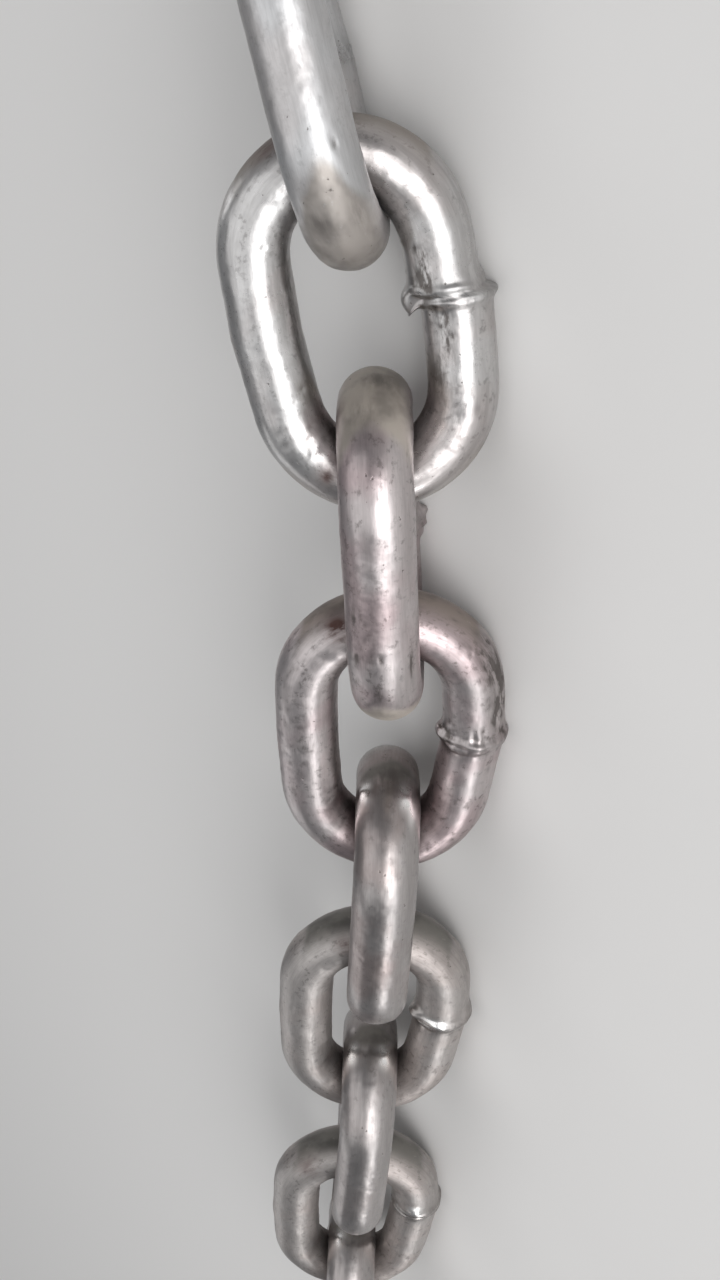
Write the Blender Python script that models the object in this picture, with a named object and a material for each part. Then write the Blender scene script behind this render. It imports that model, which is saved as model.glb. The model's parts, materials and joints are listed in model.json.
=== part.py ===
"""One foot of welded steel chain, zinc plated, laid out on a level floor.

Every link is a bar bent into an oval ring and closed by a weld in the middle of one leg.
Neighbouring links stand at right angles to each other, so on a floor each of them leans
half a right angle and rests on its lower leg. The chain runs along +X and lies in a slack
curve. Lengths are in metres and +Z is up.
"""
import math

import bmesh
import bpy
from mathutils import Matrix, Vector

# Bar and link
BAR_DIAMETER = 0.010
INSIDE_LENGTH = 0.035
INSIDE_WIDTH = 0.016
BEARING_GAP = 0.0004

# Metal squeezed out of the weld, a collar that stands proud on one side of the leg
COLLAR_WIDTH = 0.0016
COLLAR_STANDOUT = 0.0013
COLLAR_SUNK = 0.0011
COLLAR_BEVEL = 0.0004
COLLAR_TURN = math.radians(30.0)

# How the chain lies
LINK_COUNT = 9
LEAN = math.radians(45.0)
STRAIGHTEST_LINK = 7
STRAIGHTEST_HEADING = math.radians(-6.8)
SLACK_CURVE = math.radians(0.078)

# Fineness of the surfaces
BAR_SIDES = 12
CROWN_STEPS = 10
COLLAR_SIDES = 20
CREASE_ANGLE = math.radians(40.0)

# Sizes that follow from those above
BAR_RADIUS = BAR_DIAMETER / 2
BAR_FLAT = BAR_RADIUS * math.cos(math.pi / BAR_SIDES)
CROWN_RADIUS = (INSIDE_WIDTH + BAR_DIAMETER) / 2
CROWN_REACH = (INSIDE_LENGTH + BAR_DIAMETER) / 2
LEG_LENGTH = INSIDE_LENGTH - INSIDE_WIDTH
BEARING_DISTANCE = BAR_DIAMETER + BEARING_GAP
REST_HEIGHT = CROWN_RADIUS * math.sin(LEAN) + BAR_FLAT


def clear_scene():
    """Remove every object that the scene starts with."""
    for thing in list(bpy.data.objects):
        bpy.data.objects.remove(thing, do_unlink=True)


def zinc_plate():
    """Bright zinc on steel: a light grey metal, half polished by handling."""
    material = bpy.data.materials.new("zinc_plate")
    material.use_nodes = True
    shader = material.node_tree.nodes["Principled BSDF"]
    shader.inputs["Base Color"].default_value = (0.66, 0.65, 0.63, 1.0)
    shader.inputs["Metallic"].default_value = 1.0
    shader.inputs["Roughness"].default_value = 0.34
    return material


def bar_end(mesh):
    """The bar's round section, at the start of the welded leg, looking along the leg."""
    facing = Matrix.Translation((-LEG_LENGTH / 2, CROWN_RADIUS, 0)) @ Matrix.Rotation(math.pi / 2, 4, "Y")
    ring = bmesh.ops.create_circle(mesh, segments=BAR_SIDES, radius=BAR_RADIUS, matrix=facing)
    return [edge for edge in mesh.edges if edge.verts[0] in ring["verts"]]


def run_leg(mesh, section, length):
    """Carry the section straight along X and return the section at the far end."""
    swept = bmesh.ops.extrude_edge_only(mesh, edges=section)["geom"]
    far_points = [item for item in swept if isinstance(item, bmesh.types.BMVert)]
    bmesh.ops.translate(mesh, verts=far_points, vec=(length, 0, 0))
    return [item for item in swept if isinstance(item, bmesh.types.BMEdge)]


def turn_crown(mesh, section, centre):
    """Carry the section half a turn round the crown's centre and return the last section."""
    swept = bmesh.ops.spin(
        mesh,
        geom=section,
        cent=(centre, 0, 0),
        axis=(0, 0, -1),
        angle=math.pi,
        steps=CROWN_STEPS,
    )["geom_last"]
    return [item for item in swept if isinstance(item, bmesh.types.BMEdge)]


def bent_bar():
    """The oval ring: two straight legs along X and two half-round crowns, lying in the XY plane."""
    mesh = bmesh.new()
    section = bar_end(mesh)
    section = run_leg(mesh, section, LEG_LENGTH)
    section = turn_crown(mesh, section, LEG_LENGTH / 2)
    section = run_leg(mesh, section, -LEG_LENGTH)
    turn_crown(mesh, section, -LEG_LENGTH / 2)
    bmesh.ops.remove_doubles(mesh, verts=mesh.verts, dist=BAR_DIAMETER / 1000)
    bmesh.ops.recalc_face_normals(mesh, faces=mesh.faces)
    return mesh_object("bent_bar", mesh)


def weld_collar():
    """A disc across the middle of the leg at +Y, off centre to the ring's inside and partly to its +Z face.

    The other side of it is sunk in the bar, so the leg can lie on the floor.
    """
    side = Vector((0, -math.cos(COLLAR_TURN), math.sin(COLLAR_TURN)))
    radius = BAR_RADIUS + (COLLAR_STANDOUT - COLLAR_SUNK) / 2
    centre = Vector((0, CROWN_RADIUS, 0)) + side * (COLLAR_STANDOUT + COLLAR_SUNK) / 2
    mesh = bmesh.new()
    bmesh.ops.create_cone(
        mesh,
        cap_ends=True,
        segments=COLLAR_SIDES,
        radius1=radius,
        radius2=radius,
        depth=COLLAR_WIDTH,
        matrix=Matrix.Translation(centre) @ Matrix.Rotation(math.pi / 2, 4, "Y"),
    )
    rims = [edge for edge in mesh.edges if abs(edge.verts[0].co.x - edge.verts[1].co.x) < COLLAR_BEVEL]
    bmesh.ops.bevel(mesh, geom=rims, offset=COLLAR_BEVEL, segments=1, affect="EDGES")
    return mesh_object("weld_collar", mesh)


def mesh_object(name, mesh):
    """Turn a bmesh into an object of the scene and free the bmesh."""
    data = bpy.data.meshes.new(name)
    mesh.to_mesh(data)
    mesh.free()
    thing = bpy.data.objects.new(name, data)
    bpy.context.scene.collection.objects.link(thing)
    return thing


def link_mesh():
    """One link, bar and weld as one body, with its origin in the middle of its opening."""
    bar = bent_bar()
    collar = weld_collar()
    join = bar.modifiers.new("weld", "BOOLEAN")
    join.operation = "UNION"
    join.solver = "EXACT"
    join.object = collar
    evaluated = bar.evaluated_get(bpy.context.evaluated_depsgraph_get())
    data = bpy.data.meshes.new_from_object(evaluated)
    data.name = "chain_link"
    data.materials.clear()
    data.materials.append(zinc_plate())
    data.shade_smooth()
    data.set_sharp_from_angle(angle=CREASE_ANGLE)
    for helper in (bar, collar):
        bpy.data.objects.remove(helper, do_unlink=True)
    return data


def heading(index):
    """Direction in which a link points, as an angle from +X: the curve tightens to the near end."""
    return STRAIGHTEST_HEADING + SLACK_CURVE * abs(index - STRAIGHTEST_LINK) ** 3


def lean(index):
    """Turn of a link about its own length, which puts its welded leg on the floor, left or right by turns."""
    return -LEAN if index % 2 else LEAN - math.pi


def along_floor(angle):
    """Unit vector on the floor, at an angle from +X."""
    return Vector((math.cos(angle), math.sin(angle), 0))


def lay_links(collection, data):
    """Hang every link on an empty in the far crown of the link before it, which is its hinge point.

    The two crowns bear on each other in the direction halfway between their links' headings,
    so a link that is turned sideways doesn't climb up its neighbour's leg.
    """
    ground = bpy.data.objects.new("chain", None)
    collection.objects.link(ground)
    hinge = Vector((0, 0, REST_HEIGHT))
    links = []
    for index in range(LINK_COUNT):
        turn = heading(index)
        last_turn = heading(max(index - 1, 0))
        pivot = bpy.data.objects.new(f"bearing_{index + 1:02d}", None)
        pivot.parent = ground
        pivot.location = hinge
        pivot.rotation_euler = (lean(index), 0, turn)
        link = bpy.data.objects.new(f"link_{index + 1:02d}", data)
        link.parent = pivot
        to_crown = -BEARING_DISTANCE * along_floor((turn + last_turn) / 2)
        to_centre = to_crown + CROWN_REACH * along_floor(turn)
        link.location = pivot.rotation_euler.to_matrix().transposed() @ to_centre
        for thing in (pivot, link):
            collection.objects.link(thing)
        links.append(link)
        hinge = hinge + to_centre + CROWN_REACH * along_floor(turn)
    return ground, links


def centre_chain(ground, links):
    """Move the whole chain so that the middle of its outline on the floor is the origin."""
    bpy.context.view_layer.update()
    points = [link.matrix_world @ vertex.co for link in links for vertex in link.data.vertices]
    for axis in (0, 1):
        values = [point[axis] for point in points]
        ground.location[axis] = -(min(values) + max(values)) / 2


def main():
    """Build the chain in a collection of its own."""
    clear_scene()
    collection = bpy.data.collections.new("steel_link_chain")
    bpy.context.scene.collection.children.link(collection)
    ground, links = lay_links(collection, link_mesh())
    centre_chain(ground, links)


main()
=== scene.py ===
"""Looks of one foot of welded steel chain with a worn zinc finish.

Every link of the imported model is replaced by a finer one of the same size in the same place:
a drawn bar bent into an oval, closed by a flash weld in the middle of one leg, plated and
then rubbed, knocked and spotted in use. The links are shaped in millimetres and placed in
metres, and the studio is in metres. A distance along the bar is counted from the middle of the
welded leg, first toward the far crown, and an angle around it from the outside of the oval
toward the link's own +Z face.
"""
import json
import logging
import math
from dataclasses import astuple, dataclass, field, replace
from enum import Enum

import bpy
import numpy as np
from mathutils import Matrix, Vector

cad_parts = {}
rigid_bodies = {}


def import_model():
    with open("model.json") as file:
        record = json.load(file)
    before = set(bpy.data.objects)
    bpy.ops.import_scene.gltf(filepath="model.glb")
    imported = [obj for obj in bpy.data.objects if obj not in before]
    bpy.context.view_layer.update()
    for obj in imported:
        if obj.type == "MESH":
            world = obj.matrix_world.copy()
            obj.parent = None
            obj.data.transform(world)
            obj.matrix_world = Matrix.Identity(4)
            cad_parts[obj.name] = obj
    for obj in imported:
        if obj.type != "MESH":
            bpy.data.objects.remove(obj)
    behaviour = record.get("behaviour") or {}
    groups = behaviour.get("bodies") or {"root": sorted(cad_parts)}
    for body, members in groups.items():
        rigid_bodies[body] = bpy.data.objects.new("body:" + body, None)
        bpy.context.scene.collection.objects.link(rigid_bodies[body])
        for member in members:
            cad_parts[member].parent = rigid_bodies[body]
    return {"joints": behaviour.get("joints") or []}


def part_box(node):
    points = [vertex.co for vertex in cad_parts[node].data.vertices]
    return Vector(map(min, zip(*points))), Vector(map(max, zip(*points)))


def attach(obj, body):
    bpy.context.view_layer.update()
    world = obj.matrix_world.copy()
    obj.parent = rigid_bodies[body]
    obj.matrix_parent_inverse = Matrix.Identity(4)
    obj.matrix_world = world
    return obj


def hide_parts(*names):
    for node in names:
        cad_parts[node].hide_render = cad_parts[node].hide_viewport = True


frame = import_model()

MM = 0.001
TURN = 2.0 * math.pi
# Steps in ring and side to the four corners of a face
QUAD = ((0, 0), (0, 1), (1, 1), (1, 0))
# What a link's seed is raised by for its die faces and its pitted patches
DIE_SEED = 100
FIELD_SEED = 200
LOG = logging.getLogger("chain")

Array = np.ndarray
Draw = np.random.Generator
Socket = bpy.types.NodeSocket
Colour = tuple[float, float, float]
Place = tuple[float, float, float]


def smooth_step(value: Array, low: float, high: float) -> Array:
    """Ease from 0 to 1 as a value passes from low to high: 3 t squared less 2 t cubed.

    Args:
        value: Values to ease.
        low: Value that gives 0.
        high: Value that gives 1.

    Returns:
        The eased values, of the same shape.
    """
    part = np.clip((value - low) / (high - low), 0.0, 1.0)
    return part * part * (3.0 - 2.0 * part)


def wrapped(value: Array, period: float) -> Array:
    """Bring differences on a closed path into the half period on either side of 0.

    Args:
        value: Differences of place.
        period: Length of the closed path.

    Returns:
        The same differences, the short way round.
    """
    return np.mod(value + period / 2, period) - period / 2


@dataclass(frozen=True)
class Bar:
    """The round bar and the oval that it is bent to.

    Attributes:
        radius: Radius of the plated bar.
        crown_radius: Radius of a crown, to the middle of the bar.
        leg_length: Straight length between the two crowns.
        easing: Length over which a straight leg passes into a crown.
    """

    radius: float = 5.0
    crown_radius: float = 13.0
    leg_length: float = 19.0
    easing: float = 1.4

    @property
    def run(self) -> float:
        """Length of the bar once round the oval."""
        return 2 * self.leg_length + TURN * self.crown_radius

    @property
    def girth(self) -> float:
        """Length once around the bar."""
        return TURN * self.radius

    @property
    def reach(self) -> float:
        """Distance from the middle of the link to the middle of the bar at a crown."""
        return self.leg_length / 2 + self.crown_radius

    @property
    def far_crown(self) -> float:
        """Distance along the bar to the middle of the far crown."""
        return self.leg_length / 2 + math.pi * self.crown_radius / 2

    @property
    def near_crown(self) -> float:
        """Distance along the bar to the middle of the near crown."""
        return self.run - self.far_crown

    def oval(self, along: Array) -> Array:
        """Middle line of the bar: two straight legs along x, joined by two half circles.

        x grows with the distance on the welded leg, follows the sine of the turned angle on each
        crown and falls on the plain leg; y is the cosine of the whole angle turned so far.

        Args:
            along: Distances along the bar.

        Returns:
            Points as an array of x and y in its last axis.
        """
        half_leg = self.leg_length / 2
        half_turn = math.pi * self.crown_radius
        far_crown = np.mod(along, self.run) - half_leg
        plain_leg = far_crown - half_turn
        near_crown = plain_leg - self.leg_length
        last_part = near_crown - half_turn
        far_angle = np.clip(far_crown / self.crown_radius, 0.0, math.pi)
        near_angle = np.clip(near_crown / self.crown_radius, 0.0, math.pi)
        straight = np.clip(far_crown + half_leg, 0.0, half_leg) + np.clip(last_part, 0.0, half_leg)
        straight = straight - np.clip(plain_leg, 0.0, self.leg_length)
        x = straight + self.crown_radius * (np.sin(far_angle) - np.sin(near_angle))
        y = self.crown_radius * np.cos(far_angle + near_angle)
        return np.stack((x, y), axis=-1)

    def eased_oval(self, along: Array) -> Array:
        """The oval with each point averaged over a short bell-shaped stretch of the line.

        The bell has nine points and reaches to twice the easing either way.

        Args:
            along: Distances along the bar.

        Returns:
            Points as an array of x and y in its last axis.
        """
        offsets = np.linspace(-2.0, 2.0, 9)
        weights = np.exp(-offsets * offsets)
        spread = self.oval(along[:, None] + offsets * self.easing)
        return np.tensordot(spread, weights / weights.sum(), axes=((1,), (0,)))


@dataclass(frozen=True)
class Grid:
    """Places on a bar's surface: rings along it and the sides of a section around it.

    Attributes:
        along: Distance along the bar of each ring.
        around: Angle around the bar of each side.
        bar: Sizes of the bar.
    """

    along: Array
    around: Array
    bar: Bar

    def off(self, place: float) -> Array:
        """Distance of each ring from a place along the bar, the short way round."""
        return wrapped(self.along - place, self.bar.run)

    def counted_from(self, place: float) -> "Grid":
        """The same grid with its distances counted from a place."""
        return replace(self, along=self.off(place))


@dataclass(frozen=True)
class Bend:
    """How the two ends of the bar meet at the weld, which is never quite true.

    The five values after the first say how far a leg stands in toward the middle of the link.

    Attributes:
        weld_place: Distance of the weld from the middle of its leg, toward the far crown.
        near_end: Welded leg at the near crown.
        near_weld: Welded leg at the weld, on its near side.
        far_weld: Welded leg at the weld, on its far side.
        far_end: Welded leg at the far crown.
        plain_far_end: Plain leg at the far crown.
        warp: How far the oval is twisted out of its plane.
        step_length: Length over which one bar end passes into the other.
        carry: How far a leg's slant goes on into its crown, as a share of its own length.
    """

    weld_place: float = 0.0
    near_end: float = 0.8
    near_weld: float = 0.2
    far_weld: float = 0.0
    far_end: float = 0.8
    plain_far_end: float = 0.0
    warp: float = 0.15
    step_length: float = 1.0
    carry: float = 0.1

    def drawn_in(self, place: Array, bar: Bar) -> Array:
        """Shift of the middle line along -y, straight from the weld to each crown.

        On each half of the welded leg the value passes in a straight line from its weld value to
        its end value and on into the crown, where it fades out with the height above the middle
        of the link. On the plain leg it grows from 0 halfway to the far crown, and there the
        shift is along +y.

        Args:
            place: Middle line of the bar, x and y in its last axis.
            bar: Sizes of the bar.

        Returns:
            One shift for each point.
        """
        x, y = place[:, 0], place[:, 1]
        half_leg = bar.leg_length / 2
        off = x - self.weld_place
        near_part = np.clip(-off / (half_leg + self.weld_place), 0.0, 1.0 + self.carry)
        far_part = np.clip(off / (half_leg - self.weld_place), 0.0, 1.0 + self.carry)
        near = self.near_weld + (self.near_end - self.near_weld) * near_part
        far = self.far_weld + (self.far_end - self.far_weld) * far_part
        far_side = smooth_step(off, -self.step_length / 2, self.step_length / 2)
        upper = smooth_step(y / bar.crown_radius, 0.0, 1.0)
        lower = smooth_step(-y / bar.crown_radius, 0.0, 1.0)
        plain = self.plain_far_end * np.clip(x / half_leg, 0.0, 1.0 + self.carry)
        return upper * (near * (1.0 - far_side) + far * far_side) - lower * plain


@dataclass(frozen=True)
class Mound:
    """A bell-shaped rise, dent or patch on the bar.

    Attributes:
        along: Place along the bar.
        around_deg: Place around the bar, in degrees from the outside of the oval.
        length: Half length along the bar.
        breadth: Half breadth around the bar.
        height: Height above the bar, depth below it where it is negative, or strength of a patch.
        lean: How far its top leans along the bar.
        bluntness: Power in its bells: 2 gives a round top, more gives a flatter one.
    """

    along: float
    around_deg: float
    length: float
    breadth: float
    height: float
    lean: float = 0.0
    bluntness: float = 2.0


Mounds = tuple[Mound, ...]


def mounds_height(mounds: Mounds, grid: Grid) -> Array:
    """Sum of bell-shaped mounds: height times a bell along the bar times a bell around it.

    Args:
        mounds: The mounds.
        grid: Rings and sides.

    Returns:
        Heights on the grid.
    """
    if not mounds:
        return np.zeros((grid.along.size, grid.around.size))
    middle, angle, length, breadth, height, _, power = np.array([astuple(mound) for mound in mounds]).T
    off_along = np.abs(wrapped(grid.along[:, None] - middle, grid.bar.run)) / length
    off_around = np.abs(wrapped(np.radians(angle)[:, None] - grid.around, TURN)) * grid.bar.radius
    around_bell = np.exp(-(off_around / breadth[:, None]) ** power[:, None])
    return (np.exp(-off_along ** power) * height) @ around_bell


def mounds_lean(mounds: Mounds, grid: Grid) -> Array:
    """Shift along the bar where a mound's top leans: its lean times the square of its bells.

    A bell is squared by narrowing it by 2 to the power of -1 / bluntness.

    Args:
        mounds: The mounds.
        grid: Rings and sides.

    Returns:
        Shifts on the grid.
    """
    leaning = []
    for mound in mounds:
        if mound.lean:
            share = 2.0 ** (-1.0 / mound.bluntness)
            length = mound.length * share
            breadth = mound.breadth * share
            leaning.append(replace(mound, length=length, breadth=breadth, height=mound.lean))
    return mounds_height(tuple(leaning), grid)


@dataclass(frozen=True)
class Waves:
    """Unevenness made of many waves that close on themselves along and around the bar.

    Attributes:
        count: Number of waves.
        shortest: Shortest wavelength.
        longest: Longest wavelength.
        height: Usual height of the unevenness.
        stretch: How many times longer the waves are along the bar than around it.
    """

    count: int
    shortest: float
    longest: float
    height: float
    stretch: float = 1.0

    def heights(self, draw: Draw, grid: Grid) -> Array:
        """Sum of cosines with whole numbers of waves along the run and around the girth.

        A cosine of a sum is the product of cosines less the product of sines, so the sum over
        all waves is two matrix products.

        Args:
            draw: Seeded source of the waves' directions and phases.
            grid: Rings and sides.

        Returns:
            Heights on the grid.
        """
        wavelength = self.shortest * (self.longest / self.shortest) ** draw.random(self.count)
        direction = draw.random(self.count) * TURN
        phase = draw.random(self.count) * TURN
        per_run = np.round(grid.bar.run * np.cos(direction) / (wavelength * self.stretch))
        per_turn = np.round(grid.bar.girth * np.sin(direction) / wavelength)
        strength = wavelength / np.sqrt(np.sum(wavelength ** 2) / 2)
        run_angle = TURN * grid.along[:, None] / grid.bar.run * per_run + phase
        turn_angle = grid.around[None, :] * per_turn[:, None]
        waves = (np.cos(run_angle) * strength) @ np.cos(turn_angle)
        waves -= (np.sin(run_angle) * strength) @ np.sin(turn_angle)
        return self.height * waves


@dataclass(frozen=True)
class Pits:
    """Small round pits scattered over the bar.

    Attributes:
        count: Number of pits.
        smallest: Smallest half width.
        largest: Largest half width.
        depth_share: Depth of a pit as a share of its half width.
    """

    count: int = 90
    smallest: float = 0.12
    largest: float = 0.42
    depth_share: float = 0.2

    def mounds(self, draw: Draw, bar: Bar) -> Mounds:
        """The pits as mounds of negative height, with many small ones and a few large ones.

        Args:
            draw: Seeded source of their places and sizes.
            bar: Sizes of the bar.

        Returns:
            The pits.
        """
        along = draw.random(self.count) * bar.run
        around = draw.random(self.count) * 360.0
        width = self.smallest + (self.largest - self.smallest) * draw.random(self.count) ** 3
        length = width * (1.0 + draw.random(self.count))
        return tuple(map(Mound, along, around, length, width, -width * self.depth_share))


@dataclass(frozen=True)
class PittedField:
    """A patch of the bar where the plating is rough and eaten into many small pits.

    Attributes:
        along: Place of its middle along the bar.
        around_deg: Place of its middle around the bar, in degrees.
        length: Usual distance of a pit from the middle, along the bar.
        breadth: Usual distance of a pit from the middle, around the bar.
        count: Number of pits.
        depth: Depth of the deepest pits.
        darkness: How dark they are, as a share of a full stain.
        smallest: Smallest half width of a pit.
        largest: Largest half width.
        longest: Largest length of a pit as a share of its width, less 1.
        faintest: Least strength of a pit, as a share.
    """

    along: float
    around_deg: float
    length: float
    breadth: float
    count: int = 60
    depth: float = 0.14
    darkness: float = 0.4
    smallest: float = 0.25
    largest: float = 0.6
    longest: float = 0.8
    faintest: float = 0.4

    def pits(self, draw: Draw, bar: Bar, as_dents: bool) -> Mounds:
        """The pits as mounds, thickest in the middle of the field.

        Args:
            draw: Seeded source of their places and sizes.
            bar: Sizes of the bar.
            as_dents: Whether the mounds are dents, and otherwise stains.

        Returns:
            The pits.
        """
        along = self.along + self.length * draw.normal(size=self.count)
        around = self.around_deg + np.degrees(self.breadth / bar.radius) * draw.normal(size=self.count)
        width = self.smallest + (self.largest - self.smallest) * draw.random(self.count) ** 2
        length = width * (1.0 + self.longest * draw.random(self.count))
        strength = self.faintest + (1.0 - self.faintest) * draw.random(self.count)
        height = strength * (-self.depth if as_dents else self.darkness)
        return tuple(map(Mound, along, around, length, width, height))


@dataclass(frozen=True)
class WeldFlash:
    """Metal squeezed out in a double ridge where the two bar ends were pressed together.

    The burrs' places along the bar are counted from the weld.

    Attributes:
        ridge_height: Usual height of a ridge.
        ridge_width: Half width of a ridge.
        ridge_spacing: Distance between the two ridges.
        swelling: Height of the broad swelling under the ridges.
        swelling_width: Half width of the swelling.
        unevenness: How much a ridge's height changes around the bar, as a share of it.
        burrs: Thicker lumps and spurs of the flash.
        crest_wander: How far a ridge's crest wanders along the bar.
    """

    ridge_height: float = 0.32
    ridge_width: float = 0.42
    ridge_spacing: float = 1.5
    swelling: float = 0.2
    swelling_width: float = 1.8
    unevenness: float = 0.45
    burrs: Mounds = ()
    crest_wander: float = 0.25

    def heights(self, draw: Draw, grid: Grid) -> Array:
        """Two bells across the weld, a broad one under them, and the burrs.

        The crest of each ridge wanders a little along the bar, and its height changes around
        the bar, both as sums of a few sines.

        Args:
            draw: Seeded source of the unevenness.
            grid: Rings and sides, with distances counted from the weld.

        Returns:
            Heights on the grid.
        """
        off = grid.along[:, None]
        rise = self.swelling * np.exp(-(off / self.swelling_width) ** 2)
        rise = rise + mounds_height(self.burrs, grid)
        for side in (-0.5, 0.5):
            crest = side * self.ridge_spacing + self.crest_wander * self.wander(draw, grid.around)
            height = self.ridge_height * (1.0 + self.unevenness * self.wander(draw, grid.around))
            rise = rise + height * np.exp(-((off - crest) / self.ridge_width) ** 2)
        return rise

    @staticmethod
    def wander(draw: Draw, around: Array, sines: int = 5, scale: float = 0.6) -> Array:
        """A curve around the bar that swings unevenly about 0, a sum of a few sines.

        Args:
            draw: Seeded source of strengths and phases.
            around: Angles around the bar.
            sines: Number of sines.
            scale: Strength of them all.

        Returns:
            One value for each angle.
        """
        order = np.arange(1, sines + 1)
        phase = draw.random(sines) * TURN
        strength = draw.normal(size=sines) / np.sqrt(order)
        return (strength * np.sin(around[:, None] * order + phase)).sum(axis=1) * scale


@dataclass(frozen=True)
class DieMarks:
    """Faces that the bending die pressed on the outside of the crowns, now rubbed bare.

    Attributes:
        near_reach: How far the face runs along the bar from the middle of the near crown.
        far_reach: The same on the far crown.
        half_angle_deg: How far it runs around the bar on either side of the outside.
        near_arch: How much further it runs along the bar at its sides, on the near crown.
        far_arch: The same on the far crown.
        depth: How deep it is pressed.
        waver: Unevenness of its ends; its sides waver half as much.
    """

    near_reach: float = 12.0
    far_reach: float = 15.0
    half_angle_deg: float = 48.0
    near_arch: float = 4.0
    far_arch: float = -3.0
    depth: float = 0.07
    waver: Waves = Waves(count=40, shortest=1.5, longest=9.0, height=0.3)

    def inside(self, draw: Draw, grid: Grid, edge: float, inset: float) -> Array:
        """Mask of the faces: 1 within their wavering, arched edge and 0 outside it.

        Args:
            draw: Seeded source of the edge's wavering.
            grid: Rings and sides.
            edge: Width of the edge.
            inset: How far the edge lies within the face's own edge.

        Returns:
            Values from 0 to 1 on the grid.
        """
        sideways = np.sin(grid.around) ** 2
        from_near = np.abs(grid.off(grid.bar.near_crown))[:, None]
        from_far = np.abs(grid.off(grid.bar.far_crown))[:, None]
        near_length = self.near_reach + self.near_arch * sideways - from_near
        far_length = self.far_reach + self.far_arch * sideways - from_far
        length = np.maximum(near_length, far_length) + self.waver.heights(draw, grid) - inset
        side = np.abs(wrapped(grid.around, TURN)) - math.radians(self.half_angle_deg)
        breadth = -side * grid.bar.radius + 0.5 * self.waver.heights(draw, grid) - inset
        return smooth_step(length, -edge / 2, edge / 2) * smooth_step(breadth, -edge, edge)


class Tone(Enum):
    """Shade of a link's finish, which follows how much it has been handled; the darker finishes of the far
    links also paint the light falling off down the chain, a painted shade.
    """

    HAZY = "hazy"
    BRIGHT = "bright"
    WARM = "warm"
    BROWN = "brown"
    GREY = "grey"
    SLATE = "slate"
    DULL = "dull"


@dataclass(frozen=True)
class Marks:
    """What sets one link apart from the next.

    Attributes:
        seed: Seed of everything drawn at random on this link.
        tone: Shade of its finish.
        bend: How its bar is bent.
        flash: Its weld.
        die: Faces that the die left on its crowns.
        spread: How much wider than round its legs are, on either side of the link's plane.
        scars: Single dents and pits that stand out.
        fields: Pitted patches.
        stains: Dark patches, as mounds whose height is a share of full strength.
        rust: Rusty patches, given in the same way.
        rubbed_and_glint: Patches rubbed bright, which also stand in for glints on the crowns' shoulders and
            on the welds (painted glints), given in the same way.
    """

    seed: int
    tone: Tone
    bend: Bend = Bend()
    flash: WeldFlash = WeldFlash()
    die: DieMarks = DieMarks()
    spread: float = 0.15
    scars: Mounds = ()
    fields: tuple[PittedField, ...] = ()
    stains: Mounds = ()
    rust: Mounds = ()
    rubbed_and_glint: Mounds = ()


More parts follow.
